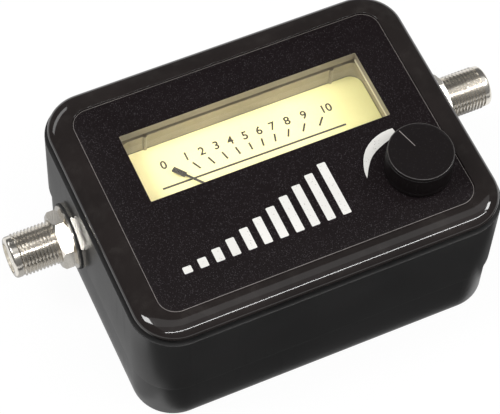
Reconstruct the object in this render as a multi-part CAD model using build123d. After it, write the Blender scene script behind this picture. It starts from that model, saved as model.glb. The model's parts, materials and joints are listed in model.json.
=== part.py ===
from build123d import *
import math
import os

# Everything is in millimetres. The meter lies on its back: Z = 0 is the table, +Z comes out of
# the face, X runs through the two aerial connectors and +Y points at the dial window.

# Case: a front cover, a wall ring and a back cover, clamped together by four screws
cover_length = 81.9
cover_width = 62.5
cover_corner_radius = 9.0
cover_edge_radius = 2.1
cover_plate_thickness = 2.0
case_height = 36.1
wall_step = 0.65
wall_thickness = 3.3
seam_drop = 5.5
groove_height = 0.9
groove_depth = 1.6
ring_edge_radius = 0.5
back_inset = 0.5
back_wall_thickness = 3.8
back_floor_thickness = 2.0
back_edge_radius = 1.0
lip_height = 1.2
lip_thickness = 0.8
case_fit = 0.1
overrun = 1.0

# Face label: a thin printed sheet in a shallow recess of the front cover
label_end_margin = 5.45
label_side_margin = 5.25
label_corner_radius = 4.0
label_thickness = 0.2
label_recess_depth = 0.5
label_fit = 0.15
window_length = 54.9
window_center_x = -0.1
window_back_distance = 14.15
window_front_margin = 3.5
window_back_lap = 0.3
window_corner_radius = 0.3

# Case screws and their bosses
boss_inset = 4.7
boss_radius = 3.2
boss_start = 0.8
boss_gap = 0.2
screw_shank_radius = 1.4
screw_head_radius = 2.6
screw_head_height = 1.8
screw_head_depth = 0.4
screw_grip = 9.0
screw_fit = 0.05
screw_way = 0.2
head_way = 0.3
cross_width = 0.7
cross_depth = 0.9
cross_length_share = 0.65

# Circuit board, carried on posts that hang from the front cover
board_end_gap = 2.8
board_side_gap = 9.1
board_thickness = 1.6
board_gap = 3.8
board_corner_radius = 1.0
post_radius = 2.3
post_boss_distance = 6.6
post_gap = 0.6
post_end_distance = 2.2
post_side_distance = 3.2
post_pot_gap = 0.9
board_screw_radius = 0.95
board_screw_head_radius = 1.9
board_screw_head_height = 1.3
board_screw_grip = 5.0
lead_tail = 0.8

# Panel meter: clear cover, dial, base tray
meter_inner_length = 56.8
pot_meter_gap = 2.9
meter_corner_radius = 3.0
meter_wall = 1.2
meter_ledge = 0.4
lens_thickness = 1.0
lens_rib_radius = 0.45
lens_rib_inset = 6.6
dial_depth = 8.2
dial_thickness = 0.5
dial_fit = 0.1
dial_opening_radius = 10.9
dial_screw_end_distance = 3.9
dial_screw_inset = 1.7
dial_screw_radius = 0.6
dial_screw_head_radius = 1.2
dial_screw_head_height = 0.6
dial_screw_length = 3.2
dial_post_radius = 1.5
tray_depth = 8.1
tray_floor_thickness = 1.2

# Moving-coil movement: its axis stands upright below the window
pivot_x = -1.2
movement_front_distance = 4.3
movement_half_width = 12.3
movement_corner_radius = 3.0
bridge_thickness = 0.8
bridge_width = 4.0
lower_bridge_length = 12.0
jewel_radius = 1.0
jewel_stand = 0.4
upper_jewel_length = 1.6
upper_bridge_gap = 1.4
pivot_radius = 0.3
pivot_play = 0.03
coil_gap = 1.2
coil_inner_half_width = 5.15
coil_side_thickness = 0.9
coil_leg_height = 0.7
coil_window_height = 4.0
coil_width = 3.0
coil_corner_radius = 0.6
core_radius = 4.6
core_height = 3.2
ring_inner_radius = 6.9
ring_outer_radius = 9.6
ring_height = 4.2
core_arm_width = 2.4
core_arm_thickness = 1.0
arm_fit = 0.02
pillar_radius = 1.0
spring_inner_radius = 0.9
spring_turns = 4
spring_pitch = 0.5
spring_thickness = 0.12
spring_height = 0.25
stud_radius = 0.35
spring_stand = 0.45

# Pointer: a thin arm with a flag-shaped tip and a tail weight
pointer_rest_angle = 129.1
pointer_swing = 80.0
pointer_tip_gap = 1.3
pointer_thickness = 0.3
pointer_gap = 0.7
pointer_arm_width = 0.42
pointer_flag_length = 3.1
pointer_flag_width = 1.15
pointer_hub_radius = 0.8
pointer_tail_length = 5.2
pointer_tail_width = 1.6

# Dial lamps below the dial, and the meter's two solder pins
lamp_inset = 8.4
lamp_radius = 1.5
lamp_flange_radius = 1.9
lamp_flange_height = 0.8
lamp_height = 5.0
lamp_lead_spacing = 2.54
lead_radius = 0.25
lead_fit = 0.1
terminal_radius = 0.5
terminal_x = 9.4
terminal_y = 5.8
terminal_stand = 1.5

# Aerial connectors: threaded barrels through the two end walls, 32 turns to the inch
connector_y = 8.6
connector_stand = 3.0
connector_reach = 14.9
thread_radius = 4.76
thread_pitch = 0.794
thread_depth = 0.42
thread_crest_flat = 0.16
thread_root_flat = 0.10
thread_runout = 0.5
thread_cut_share = 1.25
tip_length = 1.6
tip_radius = 4.58
tip_edge_radius = 0.8
relief_length = 0.35
relief_depth = 0.55
barrel_fit = 0.1
flange_radius = 5.6
flange_thickness = 1.2
flange_way = 0.3
barrel_tail_length = 1.2
barrel_tail_radius = 4.2
bore_radius = 3.3
insulator_fit = 0.03
insulator_recess = 0.6
insulator_lid = 0.6
insulator_hole_radius = 0.5
contact_radius = 0.8
contact_socket_radius = 0.42
contact_socket_depth = 5.0
contact_tail = 3.0
contact_leg_radius = 0.45
lock_nut_across_flats = 12.7
lock_nut_thickness = 0.8
ground_washer_radius = 7.4
ground_washer_thickness = 0.5
flat_washer_radius = 7.0
flat_washer_thickness = 0.4
hex_nut_across_flats = 11.1
hex_nut_thickness = 2.9
nut_chamfer = 0.6
nut_fit = 0.05

# Gain control: a rotary potentiometer behind the face, and its knob
knob_end_distance = 11.7
knob_side_distance = 14.0
pot_radius = 8.0
pot_can_height = 5.2
pot_can_wall = 0.6
pot_wafer_thickness = 1.2
pot_bush_radius = 3.5
pot_shaft_radius = 3.0
pot_running_fit = 0.05
pot_nut_across_flats = 10.0
pot_nut_thickness = 1.8
pot_washer_radius = 5.8
pot_washer_thickness = 0.5
pot_hole_fit = 0.15
pot_wiper_radius = 6.6
pot_wiper_thickness = 0.8
pot_wiper_gap = 0.6
pot_shaft_foot = 0.4
pot_pin_radius = 0.45
pot_pin_spacing = 5.0
pot_pin_offset = 4.0
knob_base_radius = 7.2
knob_top_radius = 7.05
knob_height = 6.5
knob_gap = 0.4
knob_skirt = 1.0
knob_edge_radius = 0.3
knob_top_thickness = 1.0
knob_cavity_gap = 0.5
knob_cavity_way = 0.3
bush_stand = 0.3
knob_line_angle = 107.0
knob_line_width = 0.4
knob_line_depth = 0.35
knob_line_start = 1.75

# Board parts
chip_length = 9.4
chip_width = 6.4
chip_height = 2.9
chip_gap = 0.4
chip_end_distance = 10.0
chip_side_distance = 3.6
chip_pin_count = 4
chip_pin_pitch = 2.54
chip_pin_width = 0.5
chip_pin_thickness = 0.3
can_radius = 3.15
can_height = 11.0
can_gap = 1.15
can_offset = 6.7
small_can_radius = 2.5
small_can_height = 8.0
can_spacing = 9.0
can_edge_radius = 0.4
transistor_radius = 2.3
transistor_flat = 1.3
transistor_height = 4.6
transistor_stand = 1.5
transistor_spacing = 5.6
transistor_offset = 5.8
resistor_count = 5
resistor_spacing = 2.9
resistor_back_distance = 16.9
resistor_radius = 0.95
resistor_length = 6.0
resistor_span = 9.0
resistor_gap = 0.3
buzzer_y = -4.0
buzzer_radius = 6.0
buzzer_height_share = 0.53
buzzer_wall = 0.8
buzzer_disc_thickness = 0.3
buzzer_hole_radius = 1.0
buzzer_ledge = 0.8

# Plan sizes and places that follow from the sizes above
label_length = cover_length - 2 * label_end_margin
label_width = cover_width - 2 * label_side_margin
ring_length = cover_length + 2 * wall_step
ring_width = cover_width + 2 * wall_step
ring_corner_radius = cover_corner_radius + wall_step
room_length = ring_length - 2 * wall_thickness
room_width = ring_width - 2 * wall_thickness
room_corner_radius = ring_corner_radius - wall_thickness
board_length = room_length - 2 * board_end_gap
board_width = room_width - 2 * board_side_gap
wall_face_x = ring_length / 2
tip_x = wall_face_x + connector_reach
knob_x = room_length / 2 - knob_end_distance
knob_y = knob_side_distance - room_width / 2
meter_front_y = knob_y + pot_radius + pot_meter_gap
window_front_y = meter_front_y + window_front_margin
window_back_y = cover_width / 2 - window_back_distance
window_width = window_back_y - window_front_y
window_center_y = (window_back_y + window_front_y) / 2
meter_back_y = window_back_y - window_back_lap
pivot_y = movement_front_distance + movement_half_width - room_width / 2
movement_front_y = pivot_y - movement_half_width
pointer_length = meter_back_y - pivot_y - pointer_tip_gap
spring_radius = spring_inner_radius + spring_turns * spring_pitch
lens_rib_x = meter_inner_length / 2 - lens_rib_inset
dial_screw_x = meter_inner_length / 2 - dial_screw_end_distance
lamp_x = meter_inner_length / 2 - lamp_inset
lamp_y = (meter_back_y + meter_front_y) / 2
boss_x = room_length / 2 - boss_inset
boss_y = room_width / 2 - boss_inset
boss_places = [(sx * boss_x, sy * boss_y) for sx in (-1, 1) for sy in (-1, 1)]
post_back_x = boss_x - post_boss_distance
post_back_y = meter_back_y + meter_wall + post_radius + post_gap
post_front_x = board_length / 2 - post_end_distance
post_front_y = post_side_distance - board_width / 2
post_middle_x = knob_x - pot_radius - post_radius - post_pot_gap
post_places = [(-post_back_x, post_back_y), (post_back_x, post_back_y),
               (-post_front_x, post_front_y), (post_middle_x, post_front_y)]
chip_x = chip_end_distance - board_length / 2
chip_y = chip_side_distance - board_width / 2
can_x = pivot_x - movement_half_width - meter_wall - can_radius - can_gap
can_y = chip_y + can_offset
small_can_x = can_x - can_spacing
transistor_y = knob_y + transistor_offset
resistor_first_y = board_width / 2 - resistor_back_distance

# Levels that follow, from the face down to the back
recess_floor_z = case_height - label_recess_depth
label_top_z = recess_floor_z + label_thickness
ceiling_z = recess_floor_z - cover_plate_thickness
groove_bottom_z = ceiling_z - groove_height
dial_top_z = label_top_z - dial_depth
dial_bottom_z = dial_top_z - dial_thickness
tray_bottom_z = dial_bottom_z - tray_depth
tray_floor_z = tray_bottom_z + tray_floor_thickness
board_top_z = tray_bottom_z - board_gap
board_bottom_z = board_top_z - board_thickness
lead_end_z = board_bottom_z - lead_tail
connector_z = board_top_z + connector_stand
seam_height = connector_z - seam_drop
boss_bottom_z = seam_height + boss_start
screw_top_z = boss_bottom_z + screw_grip
buzzer_height = (board_bottom_z - back_floor_thickness) * buzzer_height_share
lower_bridge_top_z = tray_floor_z + bridge_thickness
coil_bottom_z = lower_bridge_top_z + coil_gap
coil_top_z = coil_bottom_z + 2 * coil_leg_height + coil_window_height
movement_middle_z = (coil_bottom_z + coil_top_z) / 2
magnet_ring_top_z = movement_middle_z + ring_height / 2
pointer_z = dial_top_z + pointer_gap
pointer_top_z = pointer_z + pointer_thickness
upper_bridge_z = pointer_top_z + upper_bridge_gap
upper_jewel_z = upper_bridge_z - jewel_stand
pot_top_z = ceiling_z
pot_can_bottom_z = pot_top_z - pot_can_height
pot_bottom_z = pot_can_bottom_z - pot_wafer_thickness
pot_nut_top_z = recess_floor_z + pot_washer_thickness + pot_nut_thickness
bush_top_z = pot_nut_top_z + bush_stand
knob_bottom_z = label_top_z + knob_gap
knob_top_z = knob_bottom_z + knob_height
shaft_top_z = knob_top_z - knob_top_thickness


def prism(length, width, radius, low, high, x=0, y=0):
    """An upright block with rounded corners between two levels."""
    return extrude(Pos(x, y, low) * RectangleRounded(length, width, radius), high - low)


def disc(radius, low, high, x=0, y=0):
    """An upright cylinder between two levels."""
    return extrude(Pos(x, y, low) * Circle(radius), high - low)


def hexagon(across_flats, low, high, x=0, y=0, bevel=nut_chamfer):
    """A hexagonal nut blank whose corners are turned off at both ends."""
    blank = extrude(Pos(x, y, low) * RegularPolygon(across_flats / 2, 6, major_radius=False), high - low)
    turned = disc(across_flats / math.sqrt(3), low, high, x, y)
    return blank & chamfer(turned.edges().filter_by(GeomType.CIRCLE), min(bevel, (high - low) / 3))


def upright_screw(head_radius, head_low, head_height, shank_radius, top, x, y):
    """A cross-head screw that points up, with its head at the bottom."""
    head_high = head_low + head_height
    screw = disc(head_radius, head_low, head_high, x, y) + disc(shank_radius, head_high, top, x, y)
    cross_length = 2 * head_radius * cross_length_share
    bar = Pos(x, y, head_low) * Box(cross_length, cross_width, 2 * cross_depth)
    return screw - bar - Pos(x, y, head_low) * Box(cross_width, cross_length, 2 * cross_depth)


def group(solids):
    """Several loose solids of one kind, kept as one node."""
    return Compound(children=[solid for piece in solids for solid in piece.solids()])


def lip_block(inset, low, high):
    """The plan of the locating lips: the ring's room, less a fit and an inset."""
    shrink = case_fit + inset
    return prism(room_length - 2 * shrink, room_width - 2 * shrink, room_corner_radius - shrink, low, high)


def front_cover():
    """The glossy cover: label recess, window, knob hole, locating lip, screw bosses and board posts."""
    body = prism(cover_length, cover_width, cover_corner_radius, ceiling_z, case_height)
    body = fillet(body.faces().sort_by(Axis.Z)[-1].edges(), cover_edge_radius)
    body += lip_block(0, ceiling_z - lip_height, ceiling_z + overrun / 2)
    body -= lip_block(lip_thickness, ceiling_z - lip_height - overrun, ceiling_z)
    body -= prism(label_length + 2 * label_fit, label_width + 2 * label_fit,
                  label_corner_radius + label_fit, recess_floor_z, case_height + overrun)
    for x, y in boss_places:
        body += disc(boss_radius, boss_bottom_z, ceiling_z, x, y)
        body -= disc(screw_shank_radius + screw_fit, boss_bottom_z - overrun, screw_top_z + overrun, x, y)
    for x, y in post_places:
        body += disc(post_radius, board_top_z, ceiling_z, x, y)
        body -= disc(board_screw_radius + screw_fit, board_top_z - overrun,
                     board_top_z + board_screw_grip + overrun, x, y)
    body -= prism(window_length, window_width, window_corner_radius, ceiling_z - overrun,
                  case_height, window_center_x, window_center_y)
    return body - disc(pot_bush_radius + pot_hole_fit, ceiling_z - overrun, case_height, knob_x, knob_y)


def wall_ring():
    """The satin wall between the two covers, with a shadow groove under the front cover."""
    body = prism(ring_length, ring_width, ring_corner_radius, seam_height, groove_bottom_z)
    levels = body.faces().sort_by(Axis.Z)
    body = fillet(levels[0].edges() + levels[-1].edges(), ring_edge_radius)
    body += prism(ring_length - 2 * groove_depth, ring_width - 2 * groove_depth,
                  ring_corner_radius - groove_depth, groove_bottom_z - overrun, ceiling_z)
    body -= prism(room_length, room_width, room_corner_radius, seam_height - overrun, ceiling_z + overrun)
    hole = Cylinder(thread_radius + barrel_fit, ring_length + overrun)
    return body - Pos(0, connector_y, connector_z) * Rot(0, 90, 0) * hole


def back_cover():
    """The tub that closes the back, with four screw posts and a lip inside the wall ring."""
    length = ring_length - 2 * back_inset
    width = ring_width - 2 * back_inset
    radius = ring_corner_radius - back_inset
    body = prism(length, width, radius, 0, seam_height)
    body = fillet(body.faces().sort_by(Axis.Z)[0].edges(), back_edge_radius)
    body += lip_block(0, seam_height - overrun, seam_height + lip_height)
    body -= lip_block(lip_thickness, seam_height, seam_height + lip_height + overrun)
    body -= prism(length - 2 * back_wall_thickness, width - 2 * back_wall_thickness,
                  radius - back_wall_thickness, back_floor_thickness, seam_height + overrun)
    body -= Pos(0, connector_y, connector_z) * Rot(0, 90, 0) * Cylinder(flange_radius + flange_way, room_length)
    head_top = screw_head_depth + screw_head_height
    for x, y in boss_places:
        body -= disc(boss_radius + boss_gap, seam_height, seam_height + lip_height + overrun, x, y)
        body += disc(boss_radius, back_floor_thickness - overrun, boss_bottom_z - boss_gap, x, y)
        body -= disc(screw_shank_radius + screw_way, 0, seam_height + overrun, x, y)
        body -= disc(screw_head_radius + head_way, 0, head_top, x, y)
    return body


def case_screws():
    """Four screws from the back, through the back cover's posts into the front cover."""
    return group([upright_screw(screw_head_radius, screw_head_depth, screw_head_height,
                                screw_shank_radius, screw_top_z, x, y) for x, y in boss_places])


def face_label():
    """The printed sheet, cut out at the window and round the knob's nut."""
    sheet = prism(label_length, label_width, label_corner_radius, recess_floor_z, label_top_z)
    sheet -= prism(window_length, window_width, window_corner_radius, recess_floor_z - overrun,
                   case_height, window_center_x, window_center_y)
    return sheet - disc(pot_washer_radius + head_way, recess_floor_z - overrun, case_height, knob_x, knob_y)


def meter_block(grow, low, high):
    """The meter's T-shaped plan between two levels: wide at the dial, narrow at the movement."""
    wide = prism(meter_inner_length + 2 * grow, meter_back_y - meter_front_y + 2 * grow,
                 meter_corner_radius + grow, low, high, 0, (meter_back_y + meter_front_y) / 2)
    depth = meter_back_y - movement_front_y
    narrow = prism(2 * (movement_half_width + grow), depth + 2 * grow, movement_corner_radius + grow,
                   low, high, pivot_x, movement_front_y + depth / 2)
    return wide + narrow


def meter_window():
    """The clear cover of the panel meter, with two moulded ribs on its far wall."""
    shell = meter_block(meter_wall, dial_bottom_z, ceiling_z)
    shell -= meter_block(0, dial_bottom_z - overrun, ceiling_z - lens_thickness)
    for side in (-1, 1):
        shell += disc(lens_rib_radius, dial_top_z + dial_fit, ceiling_z - lens_thickness,
                      side * lens_rib_x, meter_back_y)
    return shell


def meter_tray():
    """The meter's black base: floor, walls, dial posts and the seat of the magnet ring."""
    tray = meter_block(meter_wall, tray_bottom_z, dial_bottom_z)
    tray -= meter_block(-meter_ledge, tray_floor_z, dial_bottom_z + overrun)
    seat_top = magnet_ring_top_z - ring_height
    tray += disc(ring_outer_radius, tray_floor_z, seat_top, pivot_x, pivot_y)
    tray -= disc(ring_inner_radius, tray_floor_z, seat_top + overrun, pivot_x, pivot_y)
    for side in (-1, 1):
        x, y = side * dial_screw_x, meter_front_y + dial_screw_inset
        tray += disc(dial_post_radius, tray_floor_z - overrun / 2, dial_bottom_z, x, y)
        tray -= disc(dial_screw_radius + screw_fit, dial_bottom_z - dial_screw_length,
                     dial_bottom_z + overrun, x, y)
        tray -= disc(terminal_radius + screw_fit, tray_bottom_z - overrun, tray_floor_z + overrun,
                     pivot_x + side * terminal_x, pivot_y + terminal_y)
        for lead in (-1, 1):
            tray -= disc(lead_radius + lead_fit, tray_bottom_z - overrun, tray_floor_z + overrun,
                         side * lamp_x + lead * lamp_lead_spacing / 2, lamp_y)
    return tray


def dial_plate():
    """The cream scale plate, open round the movement."""
    plate = meter_block(-dial_fit, dial_bottom_z, dial_top_z)
    plate -= disc(dial_opening_radius, dial_bottom_z - overrun, dial_top_z + overrun, pivot_x, pivot_y)
    for side in (-1, 1):
        plate -= disc(dial_screw_radius + screw_way, dial_bottom_z - overrun, dial_top_z + overrun,
                      side * dial_screw_x, meter_front_y + dial_screw_inset)
    return plate


def dial_screws():
    """Two small screws that hold the dial plate on the tray's posts."""
    top = dial_top_z + dial_screw_head_height
    screws = []
    for side in (-1, 1):
        x, y = side * dial_screw_x, meter_front_y + dial_screw_inset
        screw = disc(dial_screw_head_radius, dial_top_z, top, x, y)
        screw += disc(dial_screw_radius, dial_bottom_z - dial_screw_length, dial_top_z, x, y)
        slot = Box(2 * dial_screw_head_radius, cross_width / 2, dial_screw_head_height)
        screws.append(screw - Pos(x, y, top) * slot)
    return group(screws)


def magnet_ring():
    """The soft iron ring that closes the magnet's field round the coil."""
    low = magnet_ring_top_z - ring_height
    ring = disc(ring_outer_radius, low, magnet_ring_top_z, pivot_x, pivot_y)
    return ring - disc(ring_inner_radius, low - overrun, magnet_ring_top_z + overrun, pivot_x, pivot_y)


def core_magnet():
    """The round magnet inside the coil."""
    half = core_height / 2
    return disc(core_radius, movement_middle_z - half, movement_middle_z + half, pivot_x, pivot_y)


def core_arms():
    """Two arms that hold the core magnet in the ring, where the coil never passes."""
    half = core_arm_thickness / 2
    bar = Pos(pivot_x, pivot_y, movement_middle_z) * Box(core_arm_width, 2 * ring_outer_radius,
                                                        core_arm_thickness)
    low, high = movement_middle_z - half - overrun, movement_middle_z + half + overrun
    span = disc(ring_inner_radius - arm_fit, low, high, pivot_x, pivot_y)
    span -= disc(core_radius + arm_fit, low - overrun, high + overrun, pivot_x, pivot_y)
    return group([bar & span])


def pivot_stack(low, high, radius):
    """A short upright pin on the movement's axis."""
    return disc(radius, low, high, pivot_x, pivot_y)


def lower_bridge():
    """The brass strip on the tray's floor with the lower spring's stud."""
    strip = Pos(pivot_x, pivot_y, tray_floor_z + bridge_thickness / 2) * Box(
        lower_bridge_length, bridge_width, bridge_thickness)
    strip -= pivot_stack(tray_floor_z - overrun, lower_bridge_top_z + overrun, jewel_radius + arm_fit)
    stud_x = pivot_x + spring_radius + spring_thickness + arm_fit + stud_radius
    return strip + disc(stud_radius, lower_bridge_top_z,
                        lower_bridge_top_z + spring_stand + spring_height, stud_x, pivot_y)


def upper_bridge():
    """The brass strip above the pointer, on two pillars, with the upper spring's stud."""
    reach = (ring_inner_radius + ring_outer_radius) / 2
    strip = Pos(pivot_x, pivot_y, upper_bridge_z + bridge_thickness / 2) * Box(
        2 * (reach + pillar_radius), bridge_width, bridge_thickness)
    for side in (-1, 1):
        strip += disc(pillar_radius, magnet_ring_top_z, upper_bridge_z, pivot_x + side * reach, pivot_y)
    strip -= pivot_stack(upper_bridge_z - overrun, upper_bridge_z + bridge_thickness + overrun,
                         jewel_radius + arm_fit)
    stud_x = pivot_x + spring_radius + spring_thickness + arm_fit + stud_radius
    return strip + disc(stud_radius, upper_spring_z(), upper_bridge_z, stud_x, pivot_y)


def lower_jewel():
    """The cup bearing below the coil."""
    return pivot_stack(tray_floor_z, lower_bridge_top_z + jewel_stand, jewel_radius)


def upper_jewel():
    """The slotted bearing screw above the pointer."""
    screw = pivot_stack(upper_jewel_z, upper_jewel_z + upper_jewel_length, jewel_radius)
    slot = Box(2 * jewel_radius, cross_width / 2, bridge_thickness / 2)
    return screw - Pos(pivot_x, pivot_y, upper_jewel_z + upper_jewel_length) * slot


def moving_coil():
    """The rectangular winding that turns round the core magnet."""
    half = coil_inner_half_width
    height = coil_window_height + 2 * coil_leg_height
    frame = Box(2 * (half + coil_side_thickness), coil_width, height)
    frame = fillet(frame.edges().filter_by(Axis.Y), coil_corner_radius)
    frame -= Box(2 * half, coil_width + overrun, coil_window_height)
    turn = Rot(0, 0, pointer_swing / 2)
    return Pos(pivot_x, pivot_y, movement_middle_z) * turn * frame


def pivot_pins():
    """The two steel pins on which the coil turns."""
    lower = pivot_stack(lower_bridge_top_z + jewel_stand + pivot_play, coil_bottom_z, pivot_radius)
    upper = pivot_stack(pointer_top_z, upper_jewel_z - pivot_play, pivot_radius)
    return group([lower, upper])


def pointer():
    """The pointer with its hub, flag tip and tail weight, at the zero mark."""
    arm_end = pointer_length - pointer_flag_length
    arm = Pos(arm_end / 2, 0, 0) * Rectangle(arm_end, pointer_arm_width)
    flag = Pos(arm_end + pointer_flag_length / 2, 0, 0) * Rectangle(pointer_flag_length, pointer_flag_width)
    tail = Pos(-pointer_tail_length / 2, 0, 0) * Rectangle(pointer_tail_length, pointer_arm_width)
    weight = Pos(-pointer_tail_length, 0, 0) * Circle(pointer_tail_width / 2)
    blade = extrude(arm + flag + tail + weight + Circle(pointer_hub_radius), pointer_thickness)
    blade = Pos(pivot_x, pivot_y, pointer_z) * Rot(0, 0, pointer_rest_angle) * blade
    return blade + pivot_stack(coil_top_z, pointer_z, pointer_hub_radius)


def upper_spring_z():
    """The level of the upper hairspring, between the coil and the pointer."""
    return (coil_top_z + pointer_z - spring_height) / 2


def hairspring(low):
    """A flat spiral strip made of half circles, each a quarter pitch off the axis in turn."""
    inner, outer = [], []
    for half_turn in range(2 * spring_turns):
        side = 1 if half_turn % 2 == 0 else -1
        center = (-side * spring_pitch / 4, 0)
        radius = spring_inner_radius + (2 * half_turn + 1) * spring_pitch / 4
        start = 0 if side > 0 else 180
        inner.append(CenterArc(center, radius, start, 180))
        outer.append(CenterArc(center, radius + spring_thickness, start, 180))
    ends = [Line(inner[0] @ 0, outer[0] @ 0), Line(inner[-1] @ 1, outer[-1] @ 1)]
    strip = extrude(make_face(Wire(inner + outer + ends)), spring_height)
    return Pos(pivot_x, pivot_y, low) * strip


def meter_terminals():
    """Two solder pins that join the meter to the circuit board."""
    return group([disc(terminal_radius, lead_end_z, tray_floor_z + terminal_stand,
                       pivot_x + side * terminal_x, pivot_y + terminal_y) for side in (-1, 1)])


def dial_lamps():
    """Two small lamps below the dial, with their leads down to the board."""
    lamps = []
    for side in (-1, 1):
        x = side * lamp_x
        top = tray_floor_z + lamp_height
        lamp = disc(lamp_radius, tray_floor_z, top - lamp_radius, x, lamp_y)
        lamp += Pos(x, lamp_y, top - lamp_radius) * Sphere(lamp_radius)
        lamp += disc(lamp_flange_radius, tray_floor_z, tray_floor_z + lamp_flange_height, x, lamp_y)
        for lead in (-1, 1):
            lamp += disc(lead_radius, lead_end_z, tray_floor_z, x + lead * lamp_lead_spacing / 2, lamp_y)
        lamps.append(lamp)
    return group(lamps)


def circuit_board():
    """The board with two ears, drilled for its screws and for every pin that passes through it."""
    board = prism(board_length, board_width, board_corner_radius, board_bottom_z, board_top_z)
    for side in (-1, 1):
        board += disc(post_radius, board_bottom_z, board_top_z, side * post_back_x, post_back_y)
    holes = [(x, y, board_screw_radius + screw_way) for x, y in post_places]
    for side in (-1, 1):
        holes.append((pivot_x + side * terminal_x, pivot_y + terminal_y, terminal_radius + lead_fit))
        for lead in (-1, 1):
            holes.append((side * lamp_x + lead * lamp_lead_spacing / 2, lamp_y, lead_radius + lead_fit))
    for step in (-1, 0, 1):
        holes.append((knob_x + step * pot_pin_spacing, knob_y - pot_pin_offset, pot_pin_radius + lead_fit))
    for x, y, radius in holes:
        board -= disc(radius, board_bottom_z - overrun, board_top_z + overrun, x, y)
    return board


def board_screws():
    """Four screws from below that hold the board on the front cover's posts."""
    return group([upright_screw(board_screw_head_radius, board_bottom_z - board_screw_head_height,
                                board_screw_head_height, board_screw_radius,
                                board_top_z + board_screw_grip, x, y) for x, y in post_places])


def outward(piece, side):
    """Turns a piece built along +Z so that it points out of an end wall."""
    return Pos(0, connector_y, connector_z) * Rot(0, 90 * side, 0) * piece


def thread_cut(low, high):
    """The groove of the outside thread, as one sweep along a helix."""
    root = thread_radius - thread_depth
    path = Pos(0, 0, low) * Helix(thread_pitch, high - low, root)
    reach = thread_depth * thread_cut_share
    half_root = thread_root_flat / 2
    half_top = (thread_pitch - thread_crest_flat) / 2
    half_reach = half_root + (half_top - half_root) * thread_cut_share
    plane = Plane(origin=path @ 0, x_dir=(1, 0, 0), z_dir=path % 0)
    outline = Polyline((0, -half_root), (reach, -half_reach), (reach, half_reach), (0, half_root), close=True)
    return sweep(plane * make_face(outline), path=path, is_frenet=True)


def connector_barrel():
    """The plated barrel: inner flange, threaded neck, relief, smooth tip and a bore right through."""
    flange_low = wall_face_x - wall_thickness - flange_thickness
    flange_high = wall_face_x - wall_thickness
    thread_end = tip_x - tip_length
    barrel = disc(barrel_tail_radius, flange_low - barrel_tail_length, flange_low)
    barrel += disc(flange_radius, flange_low, flange_high)
    barrel += disc(thread_radius, flange_high, thread_end)
    barrel -= thread_cut(flange_high + thread_runout, thread_end - relief_length / 2)
    relief = disc(thread_radius + overrun, thread_end - relief_length, thread_end + overrun)
    barrel -= relief - disc(thread_radius - relief_depth, thread_end - relief_length, thread_end + overrun)
    tip = disc(tip_radius, thread_end, tip_x)
    barrel += fillet(tip.faces().sort_by(Axis.Z)[-1].edges(), tip_edge_radius)
    return barrel - disc(bore_radius, flange_low - barrel_tail_length - overrun, tip_x + overrun)


def connector_insulator():
    """The white insulator in the barrel, with the small hole for the cable's inner wire."""
    low = wall_face_x - wall_thickness - flange_thickness - barrel_tail_length
    high = tip_x - insulator_recess
    body = disc(bore_radius - insulator_fit, low, high)
    body -= disc(contact_radius + insulator_fit, low - overrun, high - insulator_lid)
    return body - disc(insulator_hole_radius, high - insulator_lid - overrun, high + overrun)


def connector_contact(side):
    """The inner contact: a socket at the tip, and a leg down to the board at its tail."""
    low = wall_face_x - wall_thickness - flange_thickness - barrel_tail_length - contact_tail
    high = tip_x - insulator_recess - insulator_lid
    pin = disc(contact_radius, low, high)
    pin -= disc(contact_socket_radius, high - contact_socket_depth, high + overrun)
    leg_x = side * (low + contact_radius)
    return outward(pin, side) + disc(contact_leg_radius, board_top_z, connector_z, leg_x, connector_y)


def washer(radius, low, high):
    """A flat ring on the connector's thread."""
    return disc(radius, low, high) - disc(thread_radius + nut_fit, low - overrun, high + overrun)


def connector_nut(across_flats, low, high):
    """A hexagonal nut on the connector's thread."""
    return hexagon(across_flats, low, high) - disc(thread_radius + nut_fit, low - overrun, high + overrun)


def connector(name, side):
    """All pieces of one aerial connector, from the end wall out to the tip."""
    lock_top = wall_face_x + lock_nut_thickness
    ground_top = lock_top + ground_washer_thickness
    flat_top = ground_top + flat_washer_thickness
    return {
        name + "_connector_barrel": outward(connector_barrel(), side),
        name + "_connector_insulator": outward(connector_insulator(), side),
        name + "_connector_contact": connector_contact(side),
        name + "_lock_nut": outward(connector_nut(lock_nut_across_flats, wall_face_x, lock_top), side),
        name + "_rubber_washer": outward(washer(ground_washer_radius, lock_top, ground_top), side),
        name + "_flat_washer": outward(washer(flat_washer_radius, ground_top, flat_top), side),
        name + "_hex_nut": outward(connector_nut(hex_nut_across_flats, flat_top,
                                                 flat_top + hex_nut_thickness), side),
    }


def pot_housing():
    """The gain control's can and its bush, which stands through the front cover."""
    can = disc(pot_radius, pot_can_bottom_z, pot_top_z, knob_x, knob_y)
    can -= disc(pot_radius - pot_can_wall, pot_can_bottom_z - overrun, pot_top_z - pot_can_wall,
                knob_x, knob_y)
    can += disc(pot_bush_radius, pot_top_z - overrun / 2, bush_top_z, knob_x, knob_y)
    return can - disc(pot_shaft_radius + pot_running_fit, pot_can_bottom_z, bush_top_z + overrun,
                      knob_x, knob_y)


def pot_wafer():
    """The wafer with the resistance track, and its three pins down to the board."""
    wafer = disc(pot_radius, pot_bottom_z, pot_can_bottom_z, knob_x, knob_y)
    for step in (-1, 0, 1):
        wafer += disc(pot_pin_radius, lead_end_z, pot_bottom_z, knob_x + step * pot_pin_spacing,
                      knob_y - pot_pin_offset)
    return wafer


def pot_shaft():
    """The control's shaft with the wiper disc at its foot."""
    foot = pot_can_bottom_z + pot_shaft_foot
    shaft = disc(pot_shaft_radius, foot, shaft_top_z, knob_x, knob_y)
    wiper_low = pot_can_bottom_z + pot_wiper_gap
    return shaft + disc(pot_wiper_radius, wiper_low, wiper_low + pot_wiper_thickness, knob_x, knob_y)


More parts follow.
